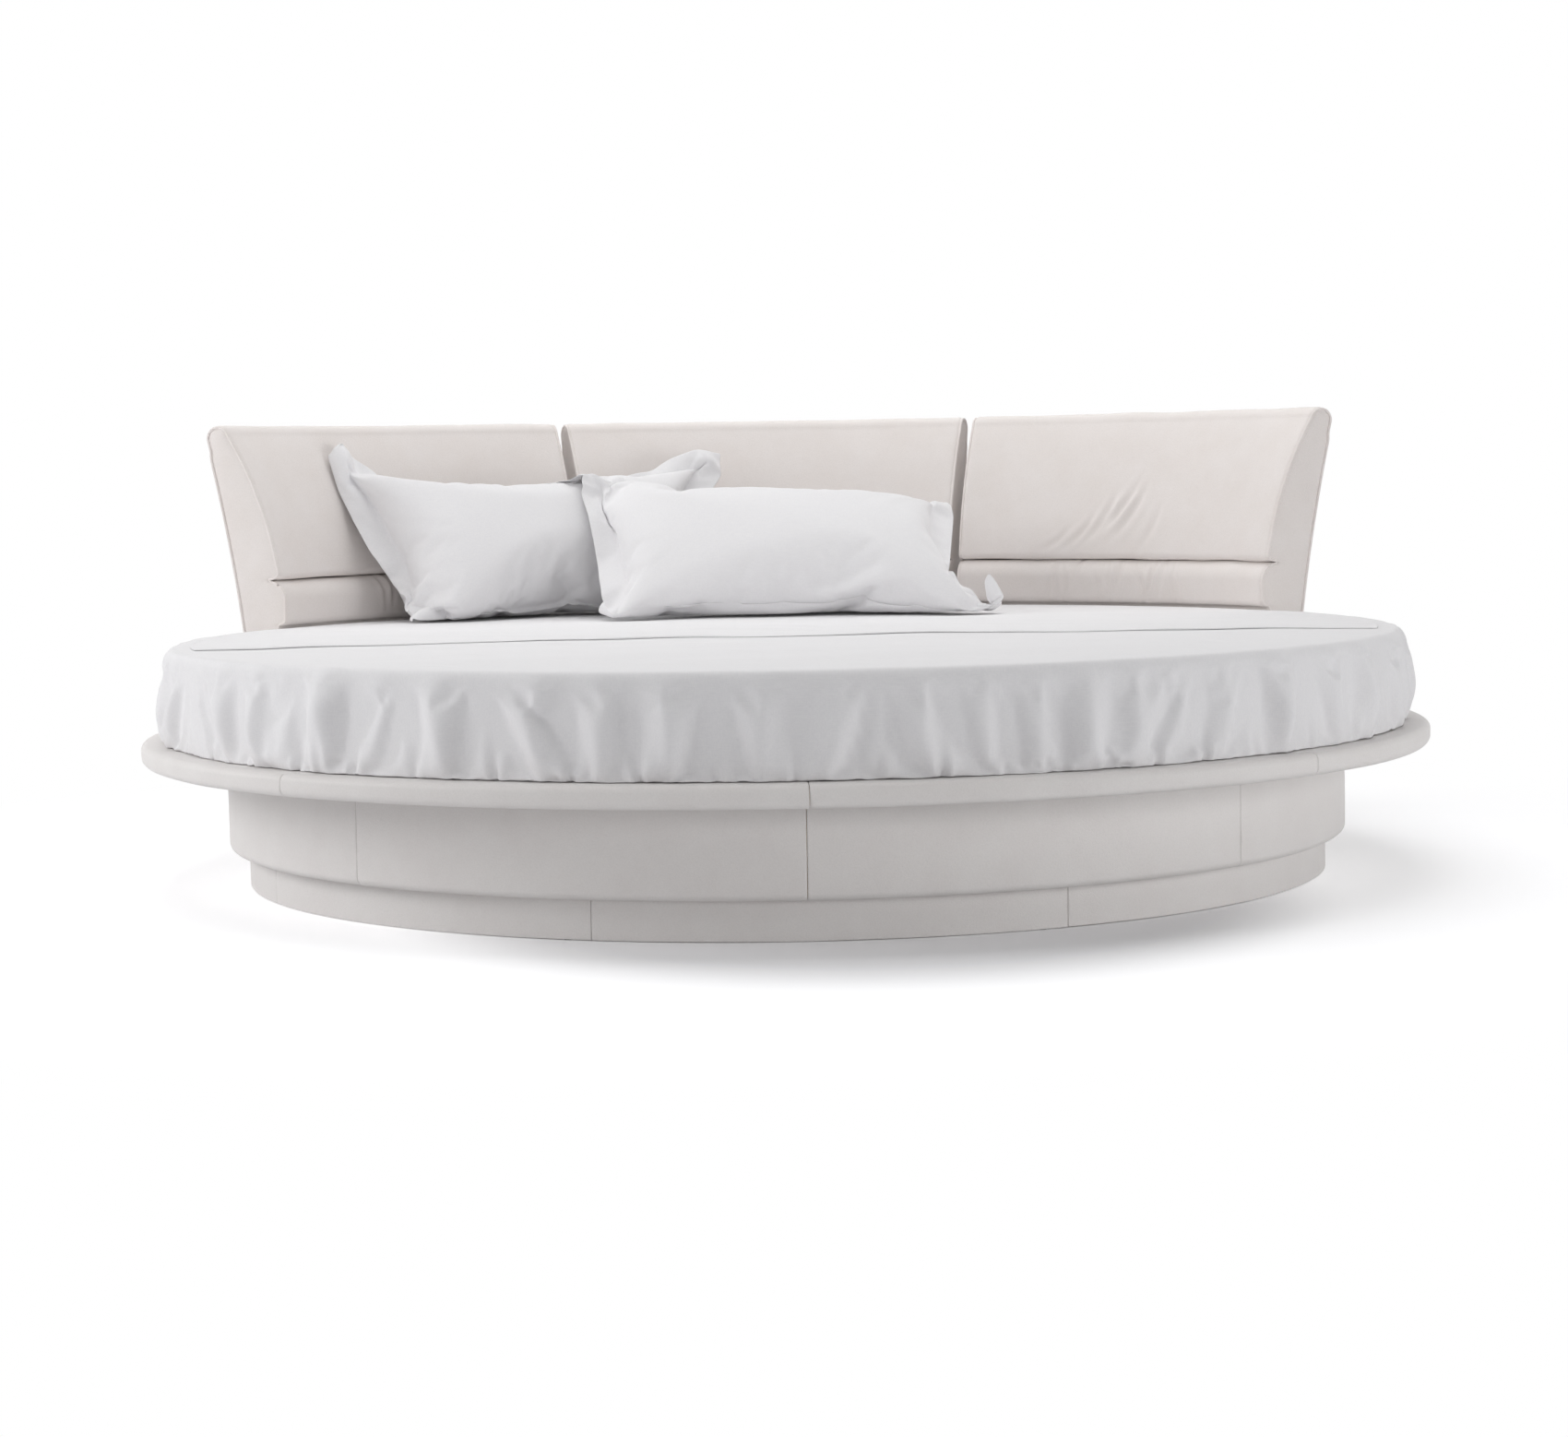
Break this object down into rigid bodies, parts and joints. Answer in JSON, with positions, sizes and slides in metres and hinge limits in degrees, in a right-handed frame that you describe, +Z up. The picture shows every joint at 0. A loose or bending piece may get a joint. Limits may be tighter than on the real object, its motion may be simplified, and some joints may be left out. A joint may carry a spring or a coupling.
{
  "type": "round bed",
  "caption": "Round upholstered bed on an inset plinth, with a projecting ledge, round mattress with bedding, and a curved headboard of separate modules that recline",
  "frame": {"origin": "on the floor, on the vertical axis that the plinth, drum, ledge and mattress share", "axes": "+Z up; the foot end of the bed faces -Y and the headboard stands on the +Y side; +X is to the right seen from the foot end"},
  "size_m": [2.4, 2.5035, 0.8578],
  "materials": {
    "leather": "matte",
    "leather_over_foam": "matte",
    "plywood": "matte",
    "beech": "satin",
    "rubber": "matte",
    "glide_plastic": "matte",
    "steel": "satin",
    "mattress_ticking": "matte",
    "cotton_sheet": "matte",
    "cotton_pillowcase": "matte"
  },
  "bodies": {
    "bed": {"centre_hinge_brackets": "steel", "centre_posts": "plywood", "drum_base": "plywood", "drum_cover_1": "leather", "drum_cover_2": "leather", "drum_cover_3": "leather", "drum_cover_4": "leather", "drum_cover_5": "leather", "drum_cover_6": "leather", "drum_cover_7": "leather", "drum_cover_8": "leather", "drum_hoop": "plywood", "drum_ribs": "plywood", "fitted_sheet": "cotton_sheet", "front_pillow": "cotton_pillowcase", "glides": "glide_plastic", "hinge_pins": "steel", "hinge_screws": "steel", "left_hinge_brackets": "steel", "mattress": "mattress_ticking", "plinth_beam_cross": "plywood", "plinth_beam_long": "plywood", "plinth_cover": "leather", "plinth_hoop": "plywood", "rear_pillow": "cotton_pillowcase", "right_hinge_brackets": "steel", "ring_board": "plywood", "ring_cover_1": "leather", "ring_cover_2": "leather", "ring_cover_3": "leather", "ring_cover_4": "leather", "ring_cover_5": "leather", "ring_cover_6": "leather", "ring_cover_7": "leather", "ring_cover_8": "leather", "sheet_turndown": "cotton_sheet", "slat_frame_left": "beech", "slat_frame_right": "beech", "slat_pads": "rubber", "slats": "beech"},
    "left_module": {"left_back_cover": "leather", "left_end_panels": "leather", "left_hinge_arms": "steel", "left_lower_pad": "leather_over_foam", "left_shell": "plywood", "left_upper_pad": "leather_over_foam"},
    "centre_module": {"centre_back_cover": "leather", "centre_end_panels": "leather", "centre_hinge_arms": "steel", "centre_lower_pad": "leather_over_foam", "centre_shell": "plywood", "centre_upper_pad": "leather_over_foam"},
    "right_module": {"right_back_cover": "leather", "right_end_panels": "leather", "right_hinge_arms": "steel", "right_lower_pad": "leather_over_foam", "right_shell": "plywood", "right_upper_pad": "leather_over_foam"}
  },
  "joints": [
    {"name": "left_recline", "type": "hinge", "parent": "bed", "child": "left_module", "pos_m": [-0.7948, 0.86132, 0.304], "axis": [-0.7349, -0.6782, 0], "range_deg": [0, 20]},
    {"name": "centre_recline", "type": "hinge", "parent": "bed", "child": "centre_module", "pos_m": [0, 1.172, 0.304], "axis": [-1, 0, 0], "range_deg": [0, 20]},
    {"name": "right_recline", "type": "hinge", "parent": "bed", "child": "right_module", "pos_m": [0.7948, 0.86132, 0.304], "axis": [-0.7349, 0.6782, 0], "range_deg": [0, 20]}
  ]
}
